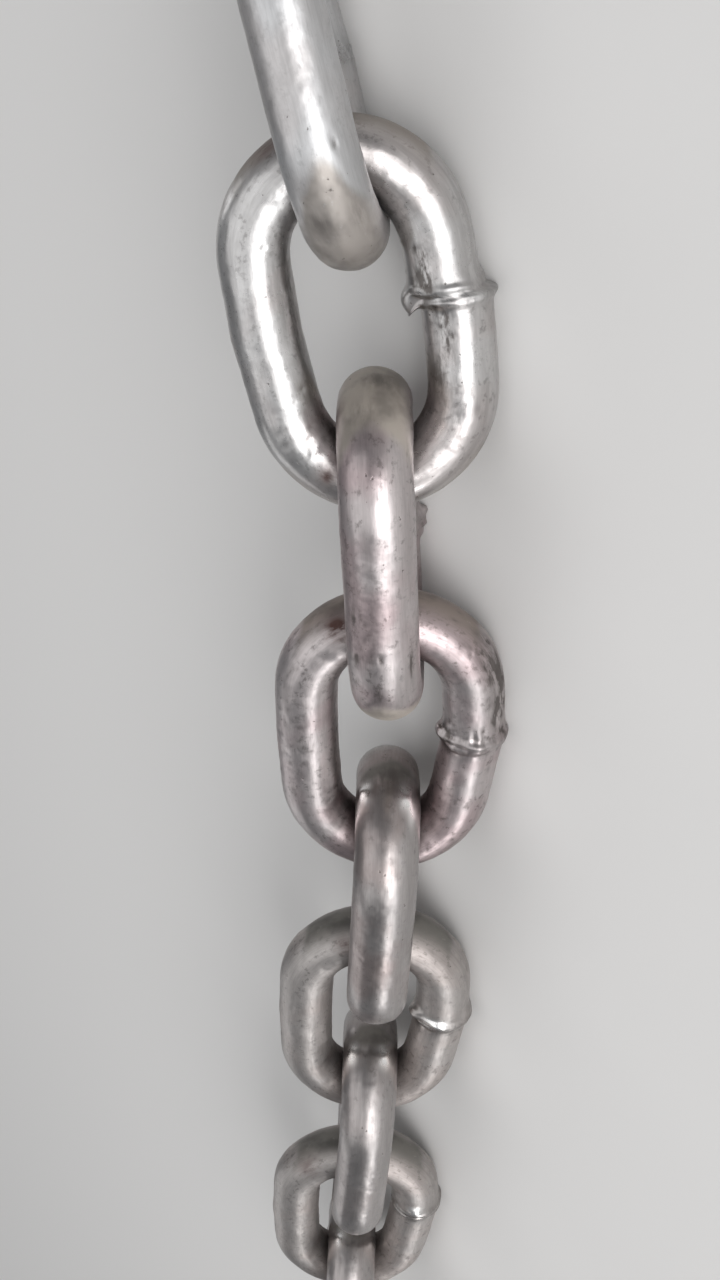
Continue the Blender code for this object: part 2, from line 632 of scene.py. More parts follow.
@dataclass
class ChainLink:
    """One link: its surface is a ring of the bar's section carried round the oval.

    Attributes:
        name: Name of the body and of the node that it replaces.
        middle: Middle of the link, in the frame.
        along_chain: Level unit vector along the link, toward the far end of the chain.
        face_up: Whether its own +Z face looks up.
        marks: What sets it apart.
        bar: Sizes of the bar.
        rings: Sections along the bar.
        sides: Points around a section.
        samples: Places at which the density of the rings is summed.
        crowding: How many times denser the rings are at the weld, less 1.
        crowding_width: Half width of that dense stretch.
        floor_gap: Least height above the floor.
        unevenness: Lumps, dimples and marks of the drawing.
        pits: Pits all over the bar.
        crown: Where a crown's shape starts and is full, counted back from the bar's reach.
        crown_spread: How much wider than round a crown is.
        worn: How much the inner side of a crown is worn away.
        rub: Where the next link's rubbing starts and is full, counted in the same way.
        rub_breadth: Half breadth of the rubbed patch.
        rub_side: Cosine of the angle around the bar at which that patch starts and is full.
        heat_width: Half width of what the weld's heat marked.
        die_edge: Width of the edge of the pressed faces.
        bare_edge: Width of the edge of the bare metal on them, and how far it lies within.
        grid: Rings and sides.
    """

    name: str
    middle: Vector
    along_chain: Vector
    face_up: bool
    marks: Marks
    bar: Bar = Bar()
    rings: int = 560
    sides: int = 96
    samples: int = 4001
    crowding: float = 2.0
    crowding_width: float = 3.0
    floor_gap: float = 0.02
    unevenness: tuple[Waves, ...] = (
        Waves(count=60, shortest=2.5, longest=12.0, height=0.022),
        Waves(count=160, shortest=0.9, longest=3.0, height=0.008),
        Waves(count=90, shortest=0.8, longest=4.0, height=0.006, stretch=14.0),
    )
    pits: Pits = Pits()
    crown: tuple[float, float] = (4.5, 2.5)
    crown_spread: float = 0.22
    worn: float = 0.12
    rub: tuple[float, float] = (9.0, 5.0)
    rub_breadth: float = 6.4
    rub_side: float = 0.35
    heat_width: float = 2.2
    die_edge: float = 2.0
    bare_edge: tuple[float, float] = (2.2, 1.0)
    grid: Grid = field(init=False)

    def __post_init__(self) -> None:
        """Lay out the rings and the sides of a section."""
        around = np.arange(self.sides) / self.sides * TURN
        self.grid = Grid(self.ring_places(), around, self.bar)

    def axes(self) -> Array:
        """The link's own axes in the frame: x along the chain, y down to the welded leg.

        The ring leans half a right angle, so y is the sum of a level and a downward unit vector,
        divided by the square root of 2, and z is at right angles to both.

        Returns:
            The three axes as rows.
        """
        x = self.along_chain
        level = Vector((-x.y, x.x, 0.0)) * (1.0 if self.face_up else -1.0)
        y = (level + Vector((0.0, 0.0, -1.0))).normalized()
        return np.array(Matrix((x, y, x.cross(y))))

    def ring_places(self) -> Array:
        """Distances along the bar of the rings, which crowd together at the weld.

        The rings' density is 1 plus a bell at the weld; its running sum, scaled to the number of
        rings and read backward, gives the places. The first ring is at the weld.

        Returns:
            One distance for each ring.
        """
        fine = np.linspace(0.0, self.bar.run, self.samples)
        bell = np.exp(-(wrapped(fine, self.bar.run) / self.crowding_width) ** 2)
        density = 1.0 + self.crowding * bell
        total = np.concatenate(((0.0,), np.cumsum((density[1:] + density[:-1]) / 2)))
        wanted = np.arange(self.rings) / self.rings * total[-1]
        return self.marks.bend.weld_place + np.interp(wanted, total, fine)

    def from_weld(self) -> Grid:
        """The grid with its distances counted from the weld."""
        return self.grid.counted_from(self.marks.bend.weld_place)

    def middle_line(self) -> Array:
        """Middle line of the bar, bent at the weld and warped by a sine with two waves.

        Returns:
            A point for each ring, with x, y and z in the last axis.
        """
        flat = self.bar.eased_oval(self.grid.along)
        flat[:, 1] -= self.marks.bend.drawn_in(flat, self.bar)
        warp = self.marks.bend.warp * np.sin(2.0 * TURN * self.grid.along / self.bar.run)
        return np.column_stack((flat, warp))

    def heading_along(self) -> Array:
        """Direction of the plain oval at each ring, from the ring before to the ring after.

        Returns:
            Unit vectors, with x, y and z in the last axis.
        """
        flat = self.bar.eased_oval(self.grid.along)
        ahead = np.roll(flat, -1, axis=0) - np.roll(flat, 1, axis=0)
        ahead /= np.linalg.norm(ahead, axis=1, keepdims=True)
        return np.column_stack((ahead, np.zeros(len(ahead))))

    def field_pits(self, as_dents: bool) -> Mounds:
        """Pits of all pitted patches, as dents or as stains."""
        draw = np.random.default_rng(self.marks.seed + FIELD_SEED)
        return tuple(pit for patch in self.marks.fields for pit in patch.pits(draw, self.bar, as_dents))

    def relief(self) -> Array:
        """Height of the surface above the plain bar: waves, pits, scars and the weld.

        Returns:
            Heights on the grid.
        """
        draw = np.random.default_rng(self.marks.seed)
        rise = sum(waves.heights(draw, self.grid) for waves in self.unevenness)
        for dents in (self.pits.mounds(draw, self.bar), self.marks.scars, self.field_pits(True)):
            rise += mounds_height(dents, self.grid)
        return rise + self.marks.flash.heights(draw, self.from_weld())

    def near_ends(self, x: Array, start: float, full: float) -> Array:
        """Ease from 0 to 1 toward both ends of the link, from one place to the other.

        Args:
            x: Places along the link, from its middle.
            start: Distance back from the bar's reach at which the value is 0.
            full: Distance back at which it is 1.

        Returns:
            Values from 0 to 1.
        """
        return smooth_step(np.abs(x), self.bar.reach - start, self.bar.reach - full)

    def die_face(self, edge: float, inset: float) -> Array:
        """Mask of the die's faces on this link, with an edge of the given width and inset."""
        draw = np.random.default_rng(self.marks.seed + DIE_SEED)
        return self.marks.die.inside(draw, self.grid, edge, inset)

    def pressed(self, line: Array) -> Array:
        """How the bar is out of round: wider at its sides, more so on the crowns.

        The width gained is the square of the sine of the angle around the bar. The die's face
        is sunk evenly, and the inner side of a crown is worn a little. On a crown, half of the
        legs' spread gives way to the crown's own.

        Args:
            line: Middle line of the bar.

        Returns:
            Change of the radius on the grid.
        """
        on_crown = self.near_ends(line[:, 0], *self.crown)[:, None]
        side = np.sin(self.grid.around) ** 2
        inner = np.maximum(-np.cos(self.grid.around), 0.0) ** 2
        wider = self.marks.spread + (self.crown_spread - 0.5 * self.marks.spread) * on_crown
        sunk = self.marks.die.depth * self.die_face(self.die_edge, 0.0)
        return wider * side - self.worn * on_crown * inner - sunk

    def surface(self) -> Array:
        """Points of the bar's surface in the link's own axes.

        Each ring stands square to the plain oval. A point is the ring's middle plus the radius
        and the relief, times the cosine of its angle outward in the link's plane and the sine
        of its angle along z. Leaning burrs are pushed along the line.

        Returns:
            Points on the grid, with x, y and z in the last axis.
        """
        line = self.middle_line()
        ahead = self.heading_along()
        outward = np.column_stack((-ahead[:, 1], ahead[:, 0], ahead[:, 2]))
        reach = self.bar.radius + self.relief() + self.pressed(line)
        flat_part = (reach * np.cos(self.grid.around))[:, :, None] * outward[:, None, :]
        z_part = (reach * np.sin(self.grid.around))[:, :, None] * np.array((0.0, 0.0, 1.0))
        lean = mounds_lean(self.marks.flash.burrs, self.from_weld())
        return line[:, None, :] + flat_part + z_part + lean[:, :, None] * ahead[:, None, :]

    def bearing(self, points: Array) -> Array:
        """How near the surface is to where the next link rubs, on the inner side of a crown.

        Args:
            points: Surface in the link's own axes.

        Returns:
            Values from 0 to 1 on the grid.
        """
        across = np.exp(-(np.abs(points[:, :, 1]) / self.rub_breadth) ** 4)
        inside = smooth_step(-np.cos(self.grid.around), -self.rub_side, self.rub_side)
        return across * self.near_ends(points[:, :, 0], *self.rub) * inside

    def build(self) -> bpy.types.Object:
        """Make the link's mesh in the frame, with the attributes that its finish reads.

        Returns:
            The new object.
        """
        own = self.surface()
        placed = own @ self.axes() * MM + np.array(self.middle)
        placed[:, :, 2] = np.maximum(placed[:, :, 2], self.floor_gap * MM)
        mesh = grid_mesh(self.name, placed)
        heat = np.exp(-(self.from_weld().along / self.heat_width) ** 2)
        set_point_values(mesh, "die_face", self.die_face(*self.bare_edge))
        set_point_values(mesh, "bearing", self.bearing(own))
        set_point_values(mesh, "weld", heat[:, None] + 0.0 * self.grid.around)
        patches = {
            "stain": self.marks.stains + self.field_pits(False),
            "rust": self.marks.rust,
            # The rubbed patches also carry painted glints.
            "rubbed_and_glint": self.marks.rubbed_and_glint,
        }
        for name, mounds in patches.items():
            set_point_values(mesh, name, mounds_height(mounds, self.grid))
        set_straight_bar(mesh, self.grid)
        link = bpy.data.objects.new(f"plated_{self.name}", mesh)
        bpy.context.scene.collection.objects.link(link)
        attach(link, self.name)
        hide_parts(self.name)
        return link


def grid_mesh(name: str, points: Array) -> bpy.types.Mesh:
    """A mesh from a grid of points that closes on itself both ways, with faces outward.

    Point (i, j) joins (i, j + 1), (i + 1, j + 1) and (i + 1, j), counted round both ways.

    Args:
        name: Name of the mesh.
        points: Grid of points, with x, y and z in the last axis.

    Returns:
        The mesh, shaded smooth.
    """
    rings, sides = points.shape[:2]
    ring, side = np.ogrid[:rings, :sides]
    corners = [(ring + i) % rings * sides + (side + j) % sides for i, j in QUAD]
    corners = np.stack(corners, axis=-1).ravel()
    faces = rings * sides
    mesh = bpy.data.meshes.new(name)
    mesh.vertices.add(faces)
    mesh.vertices.foreach_set("co", points.astype(np.float32).ravel())
    mesh.loops.add(corners.size)
    mesh.loops.foreach_set("vertex_index", corners.astype(np.int32))
    mesh.polygons.add(faces)
    mesh.polygons.foreach_set("loop_start", np.arange(faces, dtype=np.int32) * 4)
    mesh.update(calc_edges=True)
    mesh.validate()
    mesh.shade_smooth()
    return mesh


def set_point_values(mesh: bpy.types.Mesh, name: str, values: Array) -> None:
    """Store one value for each point of the mesh.

    Args:
        mesh: The mesh.
        name: Name of the attribute.
        values: Values in the order of the points.
    """
    attribute = mesh.attributes.new(name, "FLOAT", "POINT")
    attribute.data.foreach_set("value", values.astype(np.float32).ravel())


def set_straight_bar(mesh: bpy.types.Mesh, grid: Grid) -> None:
    """Store where each face corner was on the straight bar, in millimetres.

    x is the distance along the bar and y and z are its radius times the cosine and sine of the
    angle around it, so a pattern on them runs along the bar and has no seam but the weld.

    Args:
        mesh: A mesh made by grid_mesh.
        grid: Its rings and sides.
    """
    rings, sides = grid.along.size, grid.around.size
    along = np.append(grid.along, grid.along[0] + grid.bar.run)[:, None]
    around = np.append(grid.around, TURN)
    places = []
    for i, j in QUAD:
        distance, angle = np.broadcast_arrays(along[i:i + rings], around[j:j + sides])
        across = grid.bar.radius * np.cos(angle), grid.bar.radius * np.sin(angle)
        places.append(np.stack((distance, *across), axis=-1))
    attribute = mesh.attributes.new("straight_bar", "FLOAT_VECTOR", "CORNER")
    attribute.data.foreach_set("vector", np.stack(places, axis=2).astype(np.float32).ravel())


@dataclass
class NodeBoard:
    """Helper that adds shader nodes to one material and joins them.

    Attributes:
        tree: Node tree of the material.
    """

    tree: bpy.types.NodeTree

    def feed(self, node: bpy.types.Node, inputs: dict[str | int, object]) -> None:
        """Give a node's inputs constants or the outputs of other nodes.

        Args:
            node: The node.
            inputs: Constants and sockets, by the inputs' names or numbers.
        """
        for key, value in inputs.items():
            if isinstance(value, Socket):
                self.tree.links.new(value, node.inputs[key])
            else:
                node.inputs[key].default_value = value

    def add(self, kind: str, inputs: dict[str | int, object], output: str | int, **settings: str) -> Socket:
        """Add a node and give back one of its outputs.

        Args:
            kind: Kind of node.
            inputs: Constants and sockets, by the inputs' names or numbers.
            output: Name or number of the output.
            settings: Properties of the node.

        Returns:
            The output.
        """
        node = self.tree.nodes.new(kind)
        for name, value in settings.items():
            setattr(node, name, value)
        self.feed(node, inputs)
        return node.outputs[output]

    def attribute(self, name: str, output: str = "Fac") -> Socket:
        """Output of an attribute of the mesh."""
        return self.add("ShaderNodeAttribute", {}, output, attribute_name=name)

    def noise(
        self, place: Socket, scale: float, detail: float, roughness: float, squeeze: float = 1.0
    ) -> Socket:
        """Cloudy noise from 0 to 1.

        Args:
            place: Coordinates on the straight bar.
            scale: Number of clouds in a unit of the coordinates.
            detail: Number of finer layers.
            roughness: Strength of the finer layers.
            squeeze: Scale of the distance along the bar; less than 1 draws the clouds out.

        Returns:
            The noise.
        """
        if squeeze != 1.0:
            stretched = {"Vector": place, "Scale": (squeeze, 1.0, 1.0)}
            place = self.add("ShaderNodeMapping", stretched, "Vector")
        inputs = {"Vector": place, "Scale": scale, "Detail": detail, "Roughness": roughness}
        return self.add("ShaderNodeTexNoise", inputs, "Fac")

    def ramp(self, value: Socket, low: float, high: float, start: float = 0.0, end: float = 1.0) -> Socket:
        """Pass smoothly from start to end as a value goes from low to high.

        Args:
            value: Value to read.
            low: Value that gives start.
            high: Value that gives end.
            start: First result.
            end: Last result.

        Returns:
            The result.
        """
        inputs = {"Value": value, "From Min": low, "From Max": high, "To Min": start, "To Max": end}
        return self.add("ShaderNodeMapRange", inputs, "Result", interpolation_type="SMOOTHSTEP")

    def math(self, operation: str, first: object, second: object) -> Socket:
        """Result of a sum, product or other operation on two values."""
        return self.add("ShaderNodeMath", {0: first, 1: second}, 0, operation=operation)

    def times(self, first: object, second: object) -> Socket:
        """Product of two values."""
        return self.math("MULTIPLY", first, second)

    def larger(self, first: object, second: object) -> Socket:
        """The larger of two values."""
        return self.math("MAXIMUM", first, second)

    def without(self, share: object, part: object) -> Socket:
        """What is left of 1 when a part of a share is taken away."""
        return self.math("SUBTRACT", 1.0, self.times(share, part))

    def broken(self, share: Socket, noise: Socket, *limits: float) -> Socket:
        """A share broken up by noise, with the limits and results of the noise's ramp."""
        return self.times(share, self.ramp(noise, *limits))

    def blend(self, amount: object, first: object, second: object, way: str = "MIX") -> Socket:
        """Mix two colours.

        Args:
            amount: Share of the second colour.
            first: First colour, as three numbers or a socket.
            second: Second colour, as three numbers or a socket.
            way: How they are mixed.

        Returns:
            The mixed colour.
        """
        inputs = {0: amount}
        for key, colour in ((6, first), (7, second)):
            inputs[key] = (*colour, 1.0) if isinstance(colour, tuple) else colour
        return self.add("ShaderNodeMix", inputs, 2, data_type="RGBA", blend_type=way)


@dataclass(frozen=True)
class ZincFinish:
    """Zinc plate that has been rubbed bright, with grey bands, worn crowns and rust spots.

    Attributes:
        name: Name of the material.
        bright: Colour of rubbed zinc.
        grey: Colour of the grey bands and clouds.
        tint: Colour that the metal is tinted with in patches.
        tint_share: Strength of the tint.
        bare: Colour of the rubbed crowns.
        bare_metal: How metallic the rubbed crowns are.
        stain: Colour of dark patches and of pits.
        rust: Colour of rust.
        rubbed_and_glint_colour: Colour of patches rubbed bright, which also paints glints on them: a painted
            glint.
        band_depth: Strength of the grey bands.
        cloud_depth: Strength of the grey clouds.
        mottling: Strength of the fine dark mottling.
        polish: Roughness of the brightest metal.
        dulling: Roughness that the clouds add.
        relief: Strength of the finest relief.
        relief_depth: Depth of the finest relief.
        weld_polish: How much smoother the weld is than the rest, as a share.
    """

    name: str
    bright: Colour = (0.61, 0.60, 0.595)
    grey: Colour = (0.30, 0.29, 0.285)
    tint: Colour = (0.78, 0.67, 0.65)
    tint_share: float = 0.4
    bare: Colour = (0.27, 0.24, 0.215)
    bare_metal: float = 0.5
    stain: Colour = (0.105, 0.092, 0.085)
    rust: Colour = (0.065, 0.024, 0.018)
    rubbed_and_glint_colour: Colour = (0.93, 0.92, 0.91)
    band_depth: float = 0.30
    cloud_depth: float = 0.26
    mottling: float = 0.5
    polish: float = 0.25
    dulling: float = 0.07
    relief: float = 0.6
    relief_depth: float = 0.06
    weld_polish: float = 0.4

    def material(self) -> bpy.types.Material:
        """Build the node material.

        Bands along the bar come from noise on the straight bar's coordinates, stretched along
        it; clouds and pits from even noise on the same coordinates. The crowns' bare metal, the
        stains and the rust follow values stored on the mesh, broken up by noise.

        Returns:
            The material.
        """
        material = bpy.data.materials.new(self.name)
        material.use_nodes = True
        board = NodeBoard(material.node_tree)
        place = board.attribute("straight_bar", "Vector")
        bands = board.noise(place, scale=0.8, detail=3.0, roughness=0.55, squeeze=0.10)
        scratches = board.noise(place, scale=4.0, detail=2.0, roughness=0.6, squeeze=0.12)
        clouds = board.noise(place, scale=0.22, detail=5.0, roughness=0.62)
        grain = board.noise(place, scale=2.4, detail=3.0, roughness=0.6)
        mottle = board.noise(place, scale=0.9, detail=4.0, roughness=0.65)
        patches = board.noise(place, scale=0.09, detail=2.0, roughness=0.5)
        breaks = board.noise(place, scale=0.8, detail=4.0, roughness=0.66, squeeze=0.35)

        # Grey bands, clouds and mottling, scratches and the tint
        cloud_share = board.ramp(clouds, 0.40, 0.68)
        dark_bands = board.times(board.ramp(bands, 0.38, 0.66), self.band_depth)
        dark_clouds = board.times(cloud_share, self.cloud_depth)
        dark_share = board.larger(dark_bands, dark_clouds)
        cloudy = board.ramp(clouds, 0.42, 0.6, 0.4 * self.mottling, self.mottling)
        dark_mottle = board.times(board.ramp(mottle, 0.48, 0.66), cloudy)
        dark_share = board.larger(dark_share, dark_mottle)
        colour = board.blend(dark_share, self.bright, self.grey)
        colour = board.blend(board.ramp(scratches, 0.4, 0.75, 0.0, 0.2), colour, self.grey)
        tint_share = board.ramp(patches, 0.4, 0.62, 0.0, self.tint_share)
        colour = board.blend(tint_share, colour, self.tint, "MULTIPLY")

        # Crowns pressed and rubbed bare
        worn = board.broken(board.attribute("die_face"), mottle, 0.2, 0.4, 0.6, 1.0)
        smudge = board.ramp(board.noise(place, 0.2, 3.0, 0.55), 0.42, 0.66, 0.0, 0.6)
        bare = board.blend(smudge, self.bare, tuple(0.4 * part for part in self.bare))
        colour = board.blend(worn, colour, bare)

        # Specks, stains, soil, patches rubbed bright with painted glints, and rust
        specks = board.ramp(board.noise(place, 1.1, 2.5, 0.6), 0.70, 0.75, 0.0, 0.7)
        stained = board.broken(board.attribute("stain"), breaks, 0.36, 0.62)
        dark = board.larger(specks, board.math("MINIMUM", stained, 0.85))
        bearing = board.attribute("bearing")
        weld = board.attribute("weld")
        scorch = board.broken(weld, breaks, 0.35, 0.65, 0.15, 0.5)
        soiled = board.larger(board.times(bearing, 0.45), scorch)
        colour = board.blend(soiled, colour, tuple(0.7 * part for part in self.grey))
        # The rubbed patches are lightened toward near-white: painted glints as well as bright wear.
        rubbed_and_glint = board.broken(board.attribute("rubbed_and_glint"), breaks, 0.2, 0.5, 0.6, 1.0)
        colour = board.blend(rubbed_and_glint, colour, self.rubbed_and_glint_colour)
        colour = board.blend(dark, colour, self.stain)
        rusty = board.broken(board.attribute("rust"), breaks, 0.28, 0.54, 0.45, 1.0)
        touched = board.broken(bearing, breaks, 0.56, 0.66)
        rusty = board.math("MINIMUM", board.larger(rusty, touched), 0.95)
        colour = board.blend(rusty, colour, self.rust)

        # Roughness, metal and the finest relief
        rough = board.math("ADD", board.times(cloud_share, self.dulling), self.polish)
        rough = board.math("ADD", rough, board.ramp(scratches, 0.3, 0.7, 0.0, 0.05))
        rough = board.math("ADD", rough, board.ramp(grain, 0.3, 0.7, 0.0, 0.06))
        rough = board.times(rough, board.without(weld, self.weld_polish))
        rough = board.larger(rough, board.times(worn, 0.5))
        rough = board.times(rough, board.without(rubbed_and_glint, 0.3))
        rough = board.larger(rough, board.times(dark, 0.6))
        rough = board.larger(rough, board.times(rusty, 0.85))
        metal = board.without(worn, 1.0 - self.bare_metal)
        metal = board.math("SUBTRACT", metal, board.times(rusty, 0.8))
        height = board.times(scratches, 0.2)
        height = board.math("ADD", height, board.times(grain, 0.12))
        height = board.math("ADD", height, board.times(mottle, 0.55))
        height = board.math("SUBTRACT", height, specks)
        relief = {"Strength": self.relief, "Distance": self.relief_depth * MM, "Height": height}
        normal = board.add("ShaderNodeBump", relief, "Normal")
        looks = {"Base Color": colour, "Roughness": rough, "Metallic": metal, "Normal": normal}
        board.feed(material.node_tree.nodes["Principled BSDF"], looks)
        return material


# The grey, slate and dull finishes of the far links are partly painted shade: they stand in for the light
# falling off down the chain.
FINISHES: dict[Tone, ZincFinish] = {
    Tone.HAZY: ZincFinish(
        "zinc_hazy",
        bright=(0.58, 0.58, 0.585),
        grey=(0.31, 0.308, 0.308),
        tint=(0.86, 0.78, 0.75),
        bare=(0.38, 0.35, 0.325),
        bare_metal=0.7,
        polish=0.35,
    ),
    Tone.BRIGHT: ZincFinish("zinc_bright", band_depth=0.42, cloud_depth=0.36, mottling=0.8, weld_polish=0.0),
    Tone.WARM: ZincFinish(
        "zinc_warm",
        bright=(0.56, 0.515, 0.513),
        grey=(0.24, 0.22, 0.215),
        tint=(0.87, 0.77, 0.785),
        tint_share=0.9,
        bare=(0.44, 0.395, 0.35),
        mottling=0.85,
        polish=0.30,
        weld_polish=0.1,
    ),
    Tone.GREY: ZincFinish(
        "zinc_grey",
        bright=(0.43, 0.405, 0.398),
        grey=(0.19, 0.18, 0.177),
        tint=(0.88, 0.79, 0.775),
        tint_share=0.8,
        bare=(0.19, 0.175, 0.16),
        mottling=0.55,
        polish=0.28,
        relief=0.35,
    ),
    Tone.DULL: ZincFinish(
        "zinc_dull",
        bright=(0.50, 0.47, 0.455),
        grey=(0.20, 0.187, 0.18),
        tint=(0.90, 0.80, 0.77),
        bare=(0.18, 0.17, 0.155),
        mottling=0.7,
        polish=0.40,
    ),
}
FINISHES[Tone.BROWN] = replace(FINISHES[Tone.WARM], name="zinc_brown", bare=(0.27, 0.225, 0.20))
FINISHES[Tone.SLATE] = replace(FINISHES[Tone.GREY], name="zinc_slate", tint_share=0.3)


@dataclass
class Chain:
    """The whole chain: nine links, each told apart by its marks.

    Attributes:
        marks: Marks of the links in order from the near end.
    """

    marks: dict[str, Marks]

    def heading(self, name: str) -> Vector:
        """Level unit vector along a link, worked out from the frame.

        A link points from its middle to the bearing on its far crown. The last link has no
        bearing there, so it points the level way that is square to its own hinge.

        Args:
            name: Name of the link.

        Returns:
            The unit vector.
        """
        for joint in frame["joints"]:
            if joint["parent"] == name:
                ahead = Vector(joint["pos_m"]) - self.middle(name)
                return Vector((ahead.x, ahead.y, 0.0)).normalized()
        axis = next(Vector(joint["axis"]) for joint in frame["joints"] if joint["child"] == name)
        ahead = axis.cross(Vector((0.0, 0.0, 1.0))).normalized()
        return ahead if ahead.x > 0 else -ahead

    @staticmethod
    def middle(name: str) -> Vector:
        """Middle of a link, which is the middle of its box."""
        low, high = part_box(name)
        return (low + high) / 2

    def build(self) -> list[bpy.types.Object]:
        """Build every link and dress it.

        Returns:
            The links in order.
        """
        materials = {tone: finish.material() for tone, finish in FINISHES.items()}
        links = []
        for index, (name, marks) in enumerate(self.marks.items()):
            link = ChainLink(
                name=name,
                middle=self.middle(name),
                along_chain=self.heading(name),
                face_up=index % 2 == 1,
                marks=marks,
            )
            piece = link.build()
            piece.data.materials.append(materials[marks.tone])
            links.append(piece)
            LOG.info("%s: %d faces, %s finish", piece.name, len(piece.data.polygons), marks.tone.value)
        return links


@dataclass(frozen=True)
class Softbox:
    """A rectangular lamp that the camera doesn't see.

    Attributes:
        name: Name of the lamp.
        place: Where it hangs.
        aim: Point that it faces.
        width: Its width.
        height: Its height.
        glow: How bright its face is.
    """

    name: str
    place: Place
    aim: Place
    width: float
    height: float
    glow: float

    def hang(self) -> None:
        """Hang the lamp and aim it."""
        data = bpy.data.lights.new(self.name, "AREA")
        data.shape = "RECTANGLE"
        data.size = self.width
        data.size_y = self.height
        data.energy = self.glow * math.pi * self.width * self.height
        lamp = bpy.data.objects.new(self.name, data)
        lamp.location = self.place
        lamp.rotation_mode = "QUATERNION"
        lamp.rotation_quaternion = (Vector(self.place) - Vector(self.aim)).to_track_quat("Z", "Y")
        lamp.visible_camera = False
        bpy.context.scene.collection.objects.link(lamp)


@dataclass
class Studio:
    """Pale floor, soft lights and the camera.

    Attributes:
        lamps: The lamps.
        camera_place: Where the camera stands.
        camera_right: Direction of the picture's right side.
        camera_ahead: Direction in which the camera looks.
        focal_pixels: Focal length in pixels of the picture.
        picture_height: Height of the picture in pixels.
        sensor: Size of the camera's sensor in Blender's millimetres.
        sight: Nearest and farthest distance that the camera sees.
        floor_size: Side of the floor.
        floor_colour: Colour of the floor.
        floor_roughness: Roughness of the floor.
        room_colour: Colour of the room's even light.
        room_strength: Strength of that light.
    """

    lamps: tuple[Softbox, ...]
    camera_place: Place = (-0.1778, 0.1456, 0.1427)
    camera_right: Place = (0.02476, 0.68182, -0.73110)
    camera_ahead: Place = (0.55126, -0.61940, -0.55898)
    focal_pixels: float = 1448.5
    picture_height: float = 1280.0
    sensor: float = 36.0
    sight: tuple[float, float] = (0.005, 20.0)
    floor_size: float = 6.0
    floor_colour: Colour = (0.66, 0.65, 0.64)
    floor_roughness: float = 0.9
    room_colour: Colour = (0.80, 0.82, 0.85)
    room_strength: float = 0.26

    def set_camera(self) -> None:
        """Set up the camera where the photograph was taken from."""
        data = bpy.data.cameras.new("camera")
        data.sensor_width = self.sensor
        data.lens = self.focal_pixels * self.sensor / self.picture_height
        data.clip_start, data.clip_end = self.sight
        data.dof.use_dof = False
        camera = bpy.data.objects.new("camera", data)
        back = -Vector(self.camera_ahead).normalized()
        right = Vector(self.camera_right)
        right = (right - back * right.dot(back)).normalized()
        camera.matrix_world = Matrix((right, back.cross(right), back)).transposed().to_4x4()
        camera.location = self.camera_place
        bpy.context.scene.collection.objects.link(camera)
        bpy.context.scene.camera = camera

    def lay_floor(self) -> None:
        """Lay a plain pale floor under the chain."""
        half = self.floor_size / 2
        corners = [(-half, -half, 0.0), (half, -half, 0.0), (half, half, 0.0), (-half, half, 0.0)]
        mesh = bpy.data.meshes.new("floor")
        mesh.from_pydata(corners, [], [(0, 1, 2, 3)])
        material = bpy.data.materials.new("pale_floor")
        material.use_nodes = True
        shader = material.node_tree.nodes["Principled BSDF"]
        shader.inputs["Base Color"].default_value = (*self.floor_colour, 1.0)
        shader.inputs["Roughness"].default_value = self.floor_roughness
        mesh.materials.append(material)
        floor = bpy.data.objects.new("floor", mesh)
        bpy.context.scene.collection.objects.link(floor)

    def set_room(self) -> None:
        """Set the dim, even light of the room."""
        world = bpy.data.worlds.new("room")
        world.use_nodes = True
        background = world.node_tree.nodes["Background"]
        background.inputs["Color"].default_value = (*self.room_colour, 1.0)
        background.inputs["Strength"].default_value = self.room_strength
        bpy.context.scene.world = world

    def build(self) -> None:
        """Set up floor, camera, room and lamps."""
        self.lay_floor()
        self.set_camera()
        self.set_room()
        for lamp in self.lamps:
            lamp.hang()
        bpy.context.scene.view_settings.view_transform = "Standard"


SIDE_DISTANCE = 0.60
CHAIN_MIDDLE = (-0.05, 0.0, 0.01)


def beside(name: str, x: float, z: float, width: float, height: float, glow: float) -> Softbox:
    """A lamp that hangs upright beside the chain and faces it squarely."""
    return Softbox(name, (x, SIDE_DISTANCE, z), (x, 0.0, z), width, height, glow)


LAMPS = (
    beside("key", -0.18, 0.36, 0.72, 0.38, 4.4),
    beside("halo", -0.12, 0.42, 1.0, 0.74, 1.1),
    beside("middle_strip", 0.445, 0.27, 0.26, 0.26, 3.0),
    beside("middle_spot", 0.75, 0.26, 0.12, 0.26, 6.0),
    beside("far_spot", 0.88, 0.28, 0.13, 0.28, 6.0),
    beside("far_strip", 1.30, 0.28, 0.50, 0.28, 4.4),
    Softbox("overhead", (-0.20, -0.10, 0.95), CHAIN_MIDDLE, 1.2, 1.2, 0.9),
    Softbox("back", (0.8, -0.6, 0.5), CHAIN_MIDDLE, 0.6, 0.6, 0.8),
    Softbox("rim", (-0.25, -0.75, 0.22), CHAIN_MIDDLE, 0.24, 0.20, 1.8),
)

EDGE_ON_DIE = DieMarks(
    near_reach=3.0,
    far_reach=13.0,
    half_angle_deg=80.0,
    near_arch=-2.0,
    depth=0.14,
)

